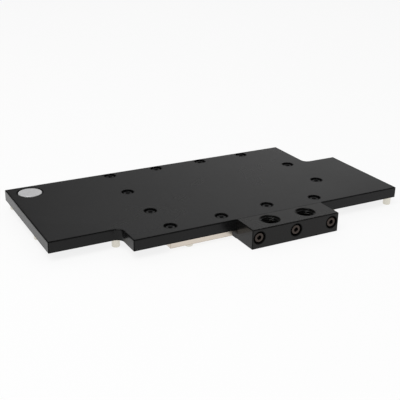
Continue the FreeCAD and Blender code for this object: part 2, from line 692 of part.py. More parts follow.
def build_terminal_block():
    """Port block: two threaded through ports, passages, face seal grooves and screw recesses."""
    body = new_body("terminal_block")
    outline = new_sketch(body, "outline")
    rectangle(outline, "terminal_left", "terminal_front", "terminal_right", "front_edge")
    pad(body, "block", outline, "cover_top")
    def free(edge):
        return any(abs(vertex.Point.y - value("front_edge")) > TOUCH for vertex in edge.Vertexes)

    rims = [name for z in ("cover_top", "0") for name in level_edges(body.Tip.Shape, value(z), free)]
    dress(body, "Chamfer", "rims", rims, "edge_break")

    ports = new_sketch(body, "port_places", offset="cover_top")
    threads = new_sketch(body, "lower_thread_places")
    seats = new_sketch(body, "plug_seat_outlines")
    for x in PORTS.values():
        circle(ports, x, "port_y", "port_drill")
        circle(threads, x, "port_y", "port_diameter")
        circle(seats, x, "port_y", "plug_collar + 2 * plug_collar_gap")
    hole(body, "ports", ports, "port_drill", cut=("port_diameter", "port_thread_length"))
    mouths = level_edges(body.Tip.Shape, value("cover_top"), lambda edge: edge.Closed)
    dress(body, "Chamfer", "port_mouths", mouths, "port_break")
    pocket(body, "lower_threads", threads, "plug_top + thread_gap", UP)
    pocket(body, "plug_seats", seats, "port_recess", UP)

    passages = new_sketch(body, "passage_outlines", "XZ_Plane", "-front_edge")
    grooves = new_sketch(body, "face_groove_outlines", "XZ_Plane", "-front_edge")
    for x in PORTS.values():
        ends = (f"{x} - passage_width / 2 + passage_half", f"{x} + passage_width / 2 - passage_half")
        stadium(passages, *ends, "passage_middle", "passage_half")
        for out in ("face_seal_margin", "face_seal_margin + face_seal_width"):
            stadium(grooves, *ends, "passage_middle", f"passage_half + {out}")
    pocket(body, "passages", passages, "terminal_depth - port_from_front", UP)
    pocket(body, "face_grooves", grooves, "face_seal_depth", UP)

    screws = new_sketch(body, "screw_places", "XZ_Plane", "-terminal_front")
    for x in TERMINAL_SCREWS:
        circle(screws, x, "front_screw_rise", "screw_clearance")
    hole(body, "screw_holes", screws, "screw_clearance", cut=("front_recess", "front_recess_depth"))
    return keep(body)


def build_face_seal(port, x):
    """Racetrack ring between the terminal and the cover, round one passage."""
    body = new_body(f"{port}_face_seal")
    loop = new_sketch(body, "loop", "XZ_Plane", "-front_edge")
    ends = ("-passage_width / 2 + passage_half", "passage_width / 2 - passage_half")
    for out in ("face_seal_margin + seal_gap", "face_seal_margin + face_seal_width - seal_gap"):
        stadium(loop, *ends, "passage_middle", f"passage_half + {out}")
    pad(body, "ring", loop, "face_seal_depth")
    place(body, x=x)
    return keep(body)


def build_plug(port, x):
    """Flush blanking plug in the port's lower end, with a hexagon socket, and the seal under it."""
    plug = new_body(f"{port}_plug")
    collar = new_sketch(plug, "collar_outline", offset="plug_sink")
    circle(collar, "0", "0", "plug_collar")
    pad(plug, "collar", collar, "plug_collar_thickness")
    thread = new_sketch(plug, "thread_outline", offset="plug_sink")
    circle(thread, "0", "0", "port_diameter - 2 * thread_gap")
    pad(plug, "thread", thread, "plug_collar_thickness + plug_thread_length")
    socket = new_sketch(plug, "socket_outline", offset="plug_sink")
    hexagon(socket, "0", "0", "plug_flats")
    pocket(plug, "socket", socket, "plug_socket_depth", UP)
    place(plug, x=x, y="port_y")
    keep(plug)

    washer = new_body(f"{port}_plug_seal")
    ring = new_sketch(washer, "ring_outline", offset="plug_sink + plug_collar_thickness")
    circle(ring, "0", "0", "washer_diameter")
    circle(ring, "0", "0", "port_diameter")
    pad(washer, "ring", ring, "washer_thickness")
    place(washer, x=x, y="port_y")
    keep(washer)


def build_badge():
    """Plain round badge disc in its recess."""
    body = new_body("badge_disc")
    disc = new_sketch(body, "outline")
    circle(disc, "0", "0", "badge_diameter")
    pad(body, "disc", disc, "badge_thickness")
    rim = level_edges(body.Tip.Shape, value("badge_thickness"))
    dress(body, "Chamfer", "rim", rim, "badge_sink")
    place(body, "left_edge + badge_from_left", "back_edge - badge_from_back",
          "cover_top - badge_recess")
    return keep(body)


def build_screw(name, length):
    """Socket head cap screw along -Z, with the underside of its head at its own origin."""
    body = new_body(name)
    head = new_sketch(body, "head_outline")
    circle(head, "0", "0", "head_diameter")
    pad(body, "head", head, "head_height")
    rim = level_edges(body.Tip.Shape, value("head_height"))
    dress(body, "Chamfer", "head_rim", rim, "head_break")
    socket = new_sketch(body, "socket_outline", offset="head_height")
    hexagon(socket, "0", "0", "socket_flats")
    pocket(body, "socket", socket, "socket_depth")
    shank = new_sketch(body, "shank_outline")
    circle(shank, "0", "0", "screw_diameter")
    pad(body, "shank", shank, length, UP)
    tip = level_edges(body.Tip.Shape, -value(length))
    dress(body, "Chamfer", "tip", tip, "head_break")
    return body


def build_screw_group(name, screw, places, turn=None):
    """One node of identical screws: a link to the screw at each place."""
    copies = []
    for number, (x, y, z) in enumerate(places, start=1):
        copy = doc.addObject("App::Link", f"{name}_{number}")
        copy.LinkedObject = screw
        if turn:
            copy.LinkPlacement = FreeCAD.Placement(FreeCAD.Vector(), turn)
        for axis, text in (("x", x), ("y", y), ("z", z)):
            bind(copy, f"LinkPlacement.Base.{axis}", text)
        copies.append(copy)
    group = doc.addObject("Part::Compound", name)
    group.Links = copies
    group.Label = name
    return keep(group)


def build_standoff(name, x, y, body_length, stud_length):
    """Round standoff turned in one piece with its stud, its foot on the board at Z = 0."""
    body = new_body(name)
    profile = new_sketch(body, "profile", "XZ_Plane")
    wide, thin, bore = "standoff_diameter / 2", "stud_diameter / 2", "board_bore / 2"
    top = f"{body_length} + {stud_length}"
    polygon(profile, [
        (bore, "0"), (f"{wide} - standoff_break", "0"), (wide, "standoff_break"),
        (wide, body_length), (thin, body_length), (thin, top), ("0", top),
        ("0", "board_bore_depth"), (bore, "board_bore_depth"),
    ])
    turned = body.newObject("PartDesign::Revolution", f"{name}_turned")
    turned.Profile = profile
    turned.ReferenceAxis = (profile, ["V_Axis"])
    turned.Angle = 360
    place(body, x, y)
    doc.recompute()
    return keep(body)


def build_all():
    build_cover_plate()
    build_base_plate()
    build_jet_plate()
    build_chamber_seal()
    build_terminal_block()
    for port, x in PORTS.items():
        build_face_seal(port, x)
        build_plug(port, x)
    build_badge()

    cover_screw = build_screw("cover_screw", "screw_length")
    build_screw_group("cover_screws", cover_screw, [(x, y, "recess_floor") for x, y in COVER_SCREWS])
    terminal_screw = build_screw("terminal_screw", "front_screw_length")
    face_front = FreeCAD.Rotation(FreeCAD.Vector(1, 0, 0), 90)
    build_screw_group("terminal_screws", terminal_screw,
                      [(x, "terminal_front + front_recess_depth", "front_screw_rise")
                       for x in TERMINAL_SCREWS], face_front)

    for name, (x, y) in COVER_STANDOFFS.items():
        build_standoff(name, x, y, "base_top", "cover_stud_length")
    for name, (x, y) in BASE_STANDOFFS.items():
        build_standoff(name, x, y, "board_gap", "base_stud_length")


def check_all():
    """Stop if any object failed, or any node's shape is empty or not valid."""
    doc.recompute()
    for item in doc.Objects:
        if {"Invalid", "Error"} & set(item.State):
            raise RuntimeError(f"{item.Name} failed: {item.State}")
    for item in nodes:
        if item.Shape.isNull() or not item.Shape.isValid():
            raise RuntimeError(f"{item.Label} has no valid shape")


build_all()
check_all()
os.makedirs("parts", exist_ok=True)
for node in nodes:
    node.Shape.exportStep(f"parts/{node.Label}.step")
    print(f"{node.Label}: {len(node.Shape.Solids)} solid(s), {node.Shape.Volume:.1f} mm3")
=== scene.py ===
"""Looks of a liquid cooling cold plate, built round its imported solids.

The cover, the port terminal, the base and the small parts come from the frame and get their
finishes here. The port threads and the socket cap screws are modelled here. Sizes are in
millimetres in the plate's own frame, and meshes are in metres.
"""

import logging
import math
from collections.abc import Callable, Iterable
from dataclasses import dataclass
from enum import Enum

import bmesh
import bpy
from mathutils import Matrix, Vector


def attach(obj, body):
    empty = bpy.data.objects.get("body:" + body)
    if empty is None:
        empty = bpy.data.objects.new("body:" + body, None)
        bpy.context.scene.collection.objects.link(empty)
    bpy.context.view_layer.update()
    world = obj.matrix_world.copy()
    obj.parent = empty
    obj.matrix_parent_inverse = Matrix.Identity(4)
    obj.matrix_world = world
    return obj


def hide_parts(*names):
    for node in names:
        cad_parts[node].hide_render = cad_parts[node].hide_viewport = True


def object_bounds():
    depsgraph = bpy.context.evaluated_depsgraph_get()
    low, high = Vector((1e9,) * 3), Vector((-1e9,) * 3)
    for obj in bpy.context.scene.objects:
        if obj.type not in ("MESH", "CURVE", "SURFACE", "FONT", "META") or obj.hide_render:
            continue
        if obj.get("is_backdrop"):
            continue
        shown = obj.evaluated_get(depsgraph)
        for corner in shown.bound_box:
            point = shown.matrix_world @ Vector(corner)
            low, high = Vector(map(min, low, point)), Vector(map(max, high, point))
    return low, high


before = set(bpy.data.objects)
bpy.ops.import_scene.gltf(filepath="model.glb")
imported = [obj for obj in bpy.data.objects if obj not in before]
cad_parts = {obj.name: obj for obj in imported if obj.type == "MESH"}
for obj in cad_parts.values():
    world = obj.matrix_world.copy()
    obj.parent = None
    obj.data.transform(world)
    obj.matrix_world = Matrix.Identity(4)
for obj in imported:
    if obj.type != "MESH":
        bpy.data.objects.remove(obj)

MM = 0.001  # metres in a millimetre
CLOSE = 1e-6  # metres within which two points count as one
WHITE = (1.0, 1.0, 1.0, 1.0)
LOG = logging.getLogger("cold_plate")
Colour = tuple[float, float, float]
Place = tuple[float, float, float]

# The part of a value's range over which its mask goes from 0 to 1.
MARK_NOISE = (0.3, 0.7)
GRAIN_NOISE = (0.35, 0.65)
EDGE_PATCH_NOISE = (0.35, 0.6)
SPECK_NOISE = (0.62, 0.72)
LOOKS_UP = (0.6, 0.9)
EDGE_LEAN = (0.998, 0.95)

# How many patches break up the edges' wear and painted light, and how many specks of dust there are, to a
# metre.
EDGE_PATCHES = 120.0
DUST_SPECKS = 900.0

# Middle and half size, in metres, of the upright box round the seam between the terminal and the
# cover. The seam gets none of the edge mask: no wear, no painted dark line and no rounding.
SEAM_MIDDLE: Place = (0.0144, -0.0638, 0.0)
SEAM_HALF: Place = (0.0352, 0.0009, 0.0)


class Way(Enum):
    """Which way a screw's head faces."""

    UP = "up"
    FRONT = "front"


class Pattern(Enum):
    """Marks that a finish keeps from how the piece was made."""

    GRAIN = "grain"
    LINES = "lines"
    RINGS = "rings"


class Graph:
    """Adds nodes to one node tree and joins them."""

    def __init__(self, tree: bpy.types.NodeTree) -> None:
        """Hold the tree that the nodes go into.

        Args:
            tree: A material's, a world's or a group's tree.
        """
        self.tree = tree

    def add(self, kind: str, inputs: dict[str | int, object] | None = None,
            **settings: object) -> bpy.types.Node:
        """Add one node.

        Args:
            kind: The node's type without its prefix.
            inputs: Socket name or number to a value, or to the socket that feeds it.
            settings: Properties of the node.

        Returns:
            The new node.
        """
        node = self.tree.nodes.new(f"ShaderNode{kind}")
        for name, value in settings.items():
            setattr(node, name, value)
        for name, value in (inputs or {}).items():
            if isinstance(value, bpy.types.NodeSocket):
                self.tree.links.new(value, node.inputs[name])
            else:
                node.inputs[name].default_value = value
        return node

    def maths(self, operation: str, first: object, second: object = 0.0) -> bpy.types.NodeSocket:
        """Add a Math node.

        Args:
            operation: Name of the operation.
            first: First value or socket.
            second: Second value or socket.

        Returns:
            The result's socket.
        """
        return self.add("Math", {0: first, 1: second}, operation=operation).outputs[0]

    def spread(self, value: object, low: float, high: float, start: object,
               end: object) -> bpy.types.NodeSocket:
        """Map a value's range onto another range, clamped.

        Args:
            value: The value or socket to map.
            low: Lowest incoming value.
            high: Highest incoming value.
            start: Result at the lowest value.
            end: Result at the highest value.

        Returns:
            The result's socket.
        """
        return self.add("MapRange", {0: value, 1: low, 2: high, 3: start, 4: end}).outputs[0]

    def blend(self, share: object, first: object, second: object) -> bpy.types.NodeSocket:
        """Mix two colours.

        Args:
            share: Share of the second colour.
            first: First colour or socket.
            second: Second colour or socket.

        Returns:
            The mixed colour's socket.
        """
        node = self.add("Mix", data_type="RGBA")
        for name, value in (("Factor_Float", share), ("A_Color", first), ("B_Color", second)):
            socket = next(item for item in node.inputs if item.identifier == name)
            if isinstance(value, bpy.types.NodeSocket):
                self.tree.links.new(value, socket)
            else:
                socket.default_value = value
        return next(item for item in node.outputs if item.identifier == "Result_Color")


class Effect:
    """A shader node group that several finishes share."""

    def __init__(self, name: str, inputs: dict[str, tuple[str, object]],
                 outputs: dict[str, str]) -> None:
        """Open the group and make its sockets.

        Args:
            name: The group's name.
            inputs: Input name to its kind and its usual value.
            outputs: Output name to its kind.
        """
        self.tree = bpy.data.node_groups.new(name, "ShaderNodeTree")
        for title, (kind, value) in inputs.items():
            socket = self.tree.interface.new_socket(title, in_out="INPUT", socket_type=f"NodeSocket{kind}")
            socket.default_value = value
        for title, kind in outputs.items():
            self.tree.interface.new_socket(title, in_out="OUTPUT", socket_type=f"NodeSocket{kind}")
        self.graph = Graph(self.tree)
        self.given = self.tree.nodes.new("NodeGroupInput").outputs
        self.result = self.tree.nodes.new("NodeGroupOutput").inputs

    def give(self, name: str, socket: bpy.types.NodeSocket) -> None:
        """Join a socket to one of the group's outputs.

        Args:
            name: The output's name.
            socket: What feeds it.
        """
        self.tree.links.new(socket, self.result[name])


class Effects:
    """The shared effects, each built once."""

    def __init__(self) -> None:
        """Build every group."""
        self.grain = self.build_grain()
        self.lines = self.build_lines()
        self.rings = self.build_rings()
        self.edges = self.build_edges()
        self.film = self.build_film()

    @staticmethod
    def build_grain() -> bpy.types.NodeTree:
        """Even fine grain of a bead-blasted or moulded face.

        Returns:
            The group's tree.
        """
        effect = Effect("fine_grain", {"Size": ("Float", 1500.0)}, {"Height": "Float", "Mask": "Float"})
        graph = effect.graph
        place = graph.add("TexCoord").outputs["Object"]
        fine = graph.add("TexNoise", {"Vector": place, "Scale": effect.given["Size"], "Detail": 3.0,
                                      "Roughness": 0.6})
        effect.give("Height", fine.outputs["Fac"])
        effect.give("Mask", graph.spread(fine.outputs["Fac"], *GRAIN_NOISE, 0.0, 1.0))
        return effect.tree

    @staticmethod
    def build_lines() -> bpy.types.NodeTree:
        """Lines that a cutter or a brush leaves along one axis.

        Returns:
            The group's tree.
        """
        effect = Effect("drawn_lines", {"Stretch": ("Vector", (15.0, 2500.0, 2500.0))},
                        {"Height": "Float", "Mask": "Float"})
        graph = effect.graph
        place = graph.add("TexCoord").outputs["Object"]
        drawn = graph.add("VectorMath", {0: place, 1: effect.given["Stretch"]}, operation="MULTIPLY")
        noise = graph.add("TexNoise", {"Vector": drawn.outputs[0], "Scale": 1.0, "Detail": 4.0,
                                       "Roughness": 0.55})
        effect.give("Height", noise.outputs["Fac"])
        effect.give("Mask", graph.spread(noise.outputs["Fac"], *MARK_NOISE, 0.0, 1.0))
        return effect.tree

    @staticmethod
    def build_rings() -> bpy.types.NodeTree:
        """Rings that turning leaves round an upright axis.

        Returns:
            The group's tree.
        """
        effect = Effect("turned_rings", {"Centre": ("Vector", (0.0, 0.0, 0.0)), "Size": ("Float", 2500.0)},
                        {"Height": "Float", "Mask": "Float"})
        graph = effect.graph
        place = graph.add("TexCoord").outputs["Object"]
        moved = graph.add("VectorMath", {0: place, 1: effect.given["Centre"]}, operation="SUBTRACT")
        flat = graph.add("VectorMath", {0: moved.outputs[0], 1: (1.0, 1.0, 0.0)}, operation="MULTIPLY")
        radius = graph.add("VectorMath", {0: flat.outputs[0]}, operation="LENGTH").outputs["Value"]
        wound = graph.maths("MULTIPLY", radius, effect.given["Size"])
        noise = graph.add("TexNoise", {"W": wound, "Scale": 1.0, "Detail": 3.0, "Roughness": 0.6},
                          noise_dimensions="1D")
        effect.give("Height", noise.outputs["Fac"])
        effect.give("Mask", graph.spread(noise.outputs["Fac"], *MARK_NOISE, 0.0, 1.0))
        return effect.tree

    @staticmethod
    def build_edges() -> bpy.types.NodeTree:
        """Rounded edges, and a mask of where they are, broken up in patches.

        The mask starts where the rounded normal leans a little from the true one and is full
        where it leans more. It carries wear on most finishes, painted shade on the black plastics and
        the nickel base, and a painted highlight on the thread's crests. A joint between two pieces can
        be left out by a box in the plate's own frame, which has no top and no bottom.

        Returns:
            The group's tree.
        """
        effect = Effect("edge_wear_and_painted_light", {"Radius": ("Float", 0.0002), "Patchiness": ("Float", 0.5),
                                      "Softness": ("Float", 1.0),
                                      "Joint Middle": ("Vector", (0.0, 0.0, 0.0)),
                                      "Joint Half": ("Vector", (0.0, 0.0, 0.0))},
                        {"Mask": "Float", "Normal": "Vector"})
        graph = effect.graph
        soft = graph.add("Bevel", {"Radius": effect.given["Radius"]}, samples=6).outputs[0]
        true = graph.add("NewGeometry").outputs["Normal"]
        along = graph.add("VectorMath", {0: soft, 1: true}, operation="DOT_PRODUCT").outputs["Value"]
        edge = graph.spread(along, *EDGE_LEAN, 0.0, 1.0)
        place = graph.add("TexCoord").outputs["Object"]
        patch = graph.add("TexNoise", {"Vector": place, "Scale": EDGE_PATCHES, "Detail": 4.0}).outputs["Fac"]
        least = graph.maths("SUBTRACT", 1.0, effect.given["Patchiness"])
        broken = graph.spread(patch, *EDGE_PATCH_NOISE, least, 1.0)
        offset = graph.add("VectorMath", {0: place, 1: effect.given["Joint Middle"]}, operation="SUBTRACT")
        apart = graph.add("VectorMath", {0: offset.outputs[0]}, operation="ABSOLUTE")
        past = graph.add("VectorMath", {0: apart.outputs[0], 1: effect.given["Joint Half"]},
                         operation="SUBTRACT")
        past_x, past_y, _ = graph.add("SeparateXYZ", {0: past.outputs[0]}).outputs
        outside = graph.maths("GREATER_THAN", graph.maths("MAXIMUM", past_x, past_y), 0.0)
        effect.give("Mask", graph.maths("MULTIPLY", graph.maths("MULTIPLY", edge, broken), outside))
        rounded = graph.maths("MULTIPLY", outside, effect.given["Softness"])
        effect.give("Normal", graph.blend(rounded, true, soft))
        return effect.tree

    @staticmethod
    def build_film() -> bpy.types.NodeTree:
        """Broad uneven patches of handling, with a little dust on faces that look up.

        Returns:
            The group's tree.
        """
        effect = Effect("handling_film", {"Size": ("Float", 18.0)},
                        {"Patch": "Float", "Up": "Float", "Dust": "Float"})
        graph = effect.graph
        place = graph.add("TexCoord").outputs["Object"]
        broad = graph.add("TexNoise", {"Vector": place, "Scale": effect.given["Size"], "Detail": 3.0,
                                       "Distortion": 0.6}).outputs["Fac"]
        specks = graph.add("TexNoise", {"Vector": place, "Scale": DUST_SPECKS, "Detail": 2.0}).outputs["Fac"]
        upright = graph.add("SeparateXYZ", {0: graph.add("NewGeometry").outputs["Normal"]}).outputs["Z"]
        up = graph.spread(upright, *LOOKS_UP, 0.0, 1.0)
        few = graph.spread(specks, *SPECK_NOISE, 0.0, 1.0)
        effect.give("Patch", graph.spread(broad, *MARK_NOISE, 0.0, 1.0))
        effect.give("Up", up)
        effect.give("Dust", graph.maths("MULTIPLY", up, few))
        return effect.tree


@dataclass(frozen=True)
class Finish:
    """One finish of the object.

    Attributes:
        name: The material's name.
        colour: Colour of the unworn face.
        wear_and_painted_light: Colour along the edges: wear on most finishes, painted shade on the black
            plastics and the nickel base, a painted highlight on the thread.
        roughness: Roughness of upright faces.
        roughness_up: Roughness of faces that look up.
        dust: Colour of the specks on upward faces.
        metallic: 1 for a metal.
        specular: Specular level of the shader.
        pattern: Marks left by how the piece was made.
        size: How many marks there are to a metre.
        stretch: How many drawn lines there are to a metre along each axis.
        centre: Axis of turned rings, in millimetres.
        depth: Height of the marks, in metres.
        tone: How much the marks and patches vary the colour.
        edge: Radius of the rounded edges, in metres.
        edge_rough: Roughness added along the edges.
        edge_shade_metal: Metal added along the edges as painted shade, which takes the sheen off a black one
            and leaves a dark line.
        edge_soft: How far the edges are shaded as rounded.
        patchy: How much patches break up the colour along the edges, wear and painted light alike.
        edge_share: How much of the wear_and_painted_light colour shows along the edges.
        dust_share: How much of the dust's colour a speck shows.
        film_rough: How far the handling film moves the roughness up and down.
        relief: Strength of the marks' relief.
    """

    name: str
    colour: Colour
    wear_and_painted_light: Colour
    roughness: float
    roughness_up: float
    dust: Colour = (0.2, 0.2, 0.2)
    metallic: float = 0.0
    specular: float = 0.5
    pattern: Pattern = Pattern.GRAIN
    size: float = 1500.0
    stretch: Place = (15.0, 2500.0, 2500.0)
    centre: Place = (0.0, 0.0, 0.0)
    depth: float = 0.00002
    tone: float = 0.15
    edge: float = 0.0002
    edge_rough: float = -0.04
    edge_shade_metal: float = 0.0
    edge_soft: float = 1.0
    patchy: float = 0.6
    edge_share: float = 0.8
    dust_share: float = 0.25
    film_rough: float = 0.03
    relief: float = 0.5

    def marks(self, graph: Graph, effects: Effects) -> bpy.types.Node:
        """Place the group of this finish's marks.

        Args:
            graph: The material's graph.
            effects: The shared effects.

        Returns:
            The group node.
        """
        if self.pattern is Pattern.LINES:
            return graph.add("Group", {"Stretch": self.stretch}, node_tree=effects.lines)
        if self.pattern is Pattern.RINGS:
            centre = tuple(MM * value for value in self.centre)
            return graph.add("Group", {"Centre": centre, "Size": self.size}, node_tree=effects.rings)
        return graph.add("Group", {"Size": self.size}, node_tree=effects.grain)

    def material(self, effects: Effects) -> bpy.types.Material:
        """Build the material.

        Args:
            effects: The shared effects.

        Returns:
            The material.
        """
        material = bpy.data.materials.new(self.name)
        material.use_nodes = True
        material.node_tree.nodes.clear()
        graph = Graph(material.node_tree)
        marks = self.marks(graph, effects)
        edges = graph.add("Group", {
            "Radius": self.edge, "Patchiness": self.patchy, "Softness": self.edge_soft,
            "Joint Middle": SEAM_MIDDLE, "Joint Half": SEAM_HALF,
        }, node_tree=effects.edges)
        film = graph.add("Group", node_tree=effects.film)
        dark = (*(value * (1 - self.tone) for value in self.colour), 1.0)
        light = (*(min(value * (1 + self.tone), 1.0) for value in self.colour), 1.0)
        both = graph.maths("ADD", marks.outputs["Mask"], film.outputs["Patch"])
        face = graph.blend(graph.maths("MULTIPLY", both, 0.5), dark, light)
        edge = edges.outputs["Mask"]
        # Along the edges the face takes the edge colour: wear on most finishes, painted shade on the black
        # plastics and the nickel base, a painted highlight on the thread.
        wear_and_painted_light = graph.blend(graph.maths("MULTIPLY", edge, self.edge_share), face, (*self.wear_and_painted_light, 1.0))
        specks = graph.maths("MULTIPLY", film.outputs["Dust"], self.dust_share)
        base = graph.blend(specks, wear_and_painted_light, (*self.dust, 1.0))
        rough = graph.spread(film.outputs["Up"], 0.0, 1.0, self.roughness, self.roughness_up)
        patches = graph.spread(film.outputs["Patch"], 0.0, 1.0, -self.film_rough, self.film_rough)
        uneven = graph.maths("ADD", rough, patches)
        uneven = graph.maths("ADD", uneven, graph.maths("MULTIPLY", edge, self.edge_rough))
        # Metal along the edges is painted shade on the black plastics: it dims their sheen to a dark line.
        metal = graph.maths("ADD", graph.maths("MULTIPLY", edge, self.edge_shade_metal), self.metallic)
        bump = graph.add("Bump", {"Strength": self.relief, "Distance": self.depth,
                                  "Height": marks.outputs["Height"], "Normal": edges.outputs["Normal"]})
        shader = graph.add("BsdfPrincipled", {
            "Base Color": base, "Roughness": uneven, "Normal": bump.outputs[0],
            "Metallic": metal, "Specular IOR Level": self.specular,
        })
        graph.add("OutputMaterial", {"Surface": shader.outputs[0]})
        return material


class Bench:
    """Edit-mode steps on one new piece."""

    def __init__(self, name: str) -> None:
        """Start a piece from the primitive that was just added.

        Args:
            name: The piece's name.
        """
        self.piece = bpy.context.active_object
        self.piece.name = self.piece.data.name = name
        bpy.ops.object.mode_set(mode="EDIT")

    def pick(self, kind: str, rule: Callable[[object], bool]) -> None:
        """Select the faces, edges or vertices that a rule allows, and nothing else.

        Args:
            kind: "FACE", "EDGE" or "VERT".
            rule: True for each element to select.
        """
        bpy.ops.mesh.select_all(action="DESELECT")
        bpy.context.tool_settings.mesh_select_mode = (kind == "VERT", kind == "EDGE", kind == "FACE")
        shape = bmesh.from_edit_mesh(self.piece.data)
        items = {"FACE": shape.faces, "EDGE": shape.edges, "VERT": shape.verts}[kind]
        for item in [item for item in items if rule(item)]:
            item.select = True
        shape.select_flush_mode()
        bmesh.update_edit_mesh(self.piece.data)

    def pick_disc(self, way: int, height: float) -> None:
        """Select the round face that looks straight up or down at a height.

        Args:
            way: 1 for up, -1 for down.
            height: The face's height.
        """
        fewest_sides = 9

        def disc(face: bmesh.types.BMFace) -> bool:
            """Whether a face is the one."""
            level = abs(face.calc_center_median().z - height) < CLOSE
            return level and way * face.normal.z > 0.9 and len(face.verts) >= fewest_sides

        self.pick("FACE", disc)

    def move_picked(self, rule: Callable[[Vector], Vector]) -> None:
        """Move each selected vertex to where a rule puts it.

        Args:
            rule: New place for an old place.
        """
        shape = bmesh.from_edit_mesh(self.piece.data)
        for vertex in shape.verts:
            if vertex.select:
                vertex.co = rule(vertex.co)
        bmesh.update_edit_mesh(self.piece.data)

    def rise(self, height: float) -> None:
        """Extrude the selected face along Z.

        Args:
            height: Distance, negative for down.
        """
        bpy.ops.mesh.extrude_region_move(TRANSFORM_OT_translate={"value": (0, 0, height)})

    def widen(self, share: float) -> None:
        """Scale what is selected round the Z axis.

        Args:
            share: New width against the old one.
        """
        bpy.ops.transform.resize(value=(share, share, 1.0), center_override=(0, 0, 0))

    def inset(self, margin: float, depth: float = 0.0, each: bool = False) -> None:
        """Inset the selected faces.

        Args:
            margin: Width of the new border.
            depth: How far the inner face rises.
            each: Whether each face is inset by itself.
        """
        bpy.ops.mesh.inset(thickness=margin, depth=depth, use_individual=each, use_even_offset=True)

    def close(self, smooth: float = 35.0) -> bpy.types.Object:
        """Merge doubles, turn faces outwards and leave edit mode.

        Args:
            smooth: Edges under this angle, in degrees, are shaded smooth.

        Returns:
            The finished piece.
        """
        bpy.ops.mesh.select_all(action="SELECT")
        bpy.ops.mesh.remove_doubles(threshold=CLOSE)
        bpy.ops.mesh.normals_make_consistent(inside=False)
        bpy.ops.object.mode_set(mode="OBJECT")
        bpy.ops.object.shade_smooth_by_angle(angle=math.radians(smooth))
        return self.piece


def deselect() -> None:
    """Leave nothing selected."""
    if bpy.context.object and bpy.context.object.mode != "OBJECT":
        bpy.ops.object.mode_set(mode="OBJECT")
    bpy.ops.object.select_all(action="DESELECT")


def select(*pieces: bpy.types.Object) -> None:
    """Select some pieces and nothing else, with the first one active.

    Args:
        pieces: The pieces.
    """
    deselect()
    for piece in pieces:
        piece.select_set(True)
    bpy.context.view_layer.objects.active = pieces[0]


def settle(piece: bpy.types.Object) -> None:
    """Put a piece's place into its mesh, so that its object sits at the origin.

    Args:
        piece: The piece.
    """
    select(piece)
    bpy.ops.object.transform_apply(location=True, rotation=True, scale=True)


def dress(piece: bpy.types.Object, material: bpy.types.Material) -> None:
    """Give a piece its finish.

    Args:
        piece: A new piece or a node of the frame.
        material: The finish's material.
    """
    if not piece.material_slots:
        piece.data.materials.append(material)
    piece.material_slots[0].link = "OBJECT"
    piece.material_slots[0].material = material


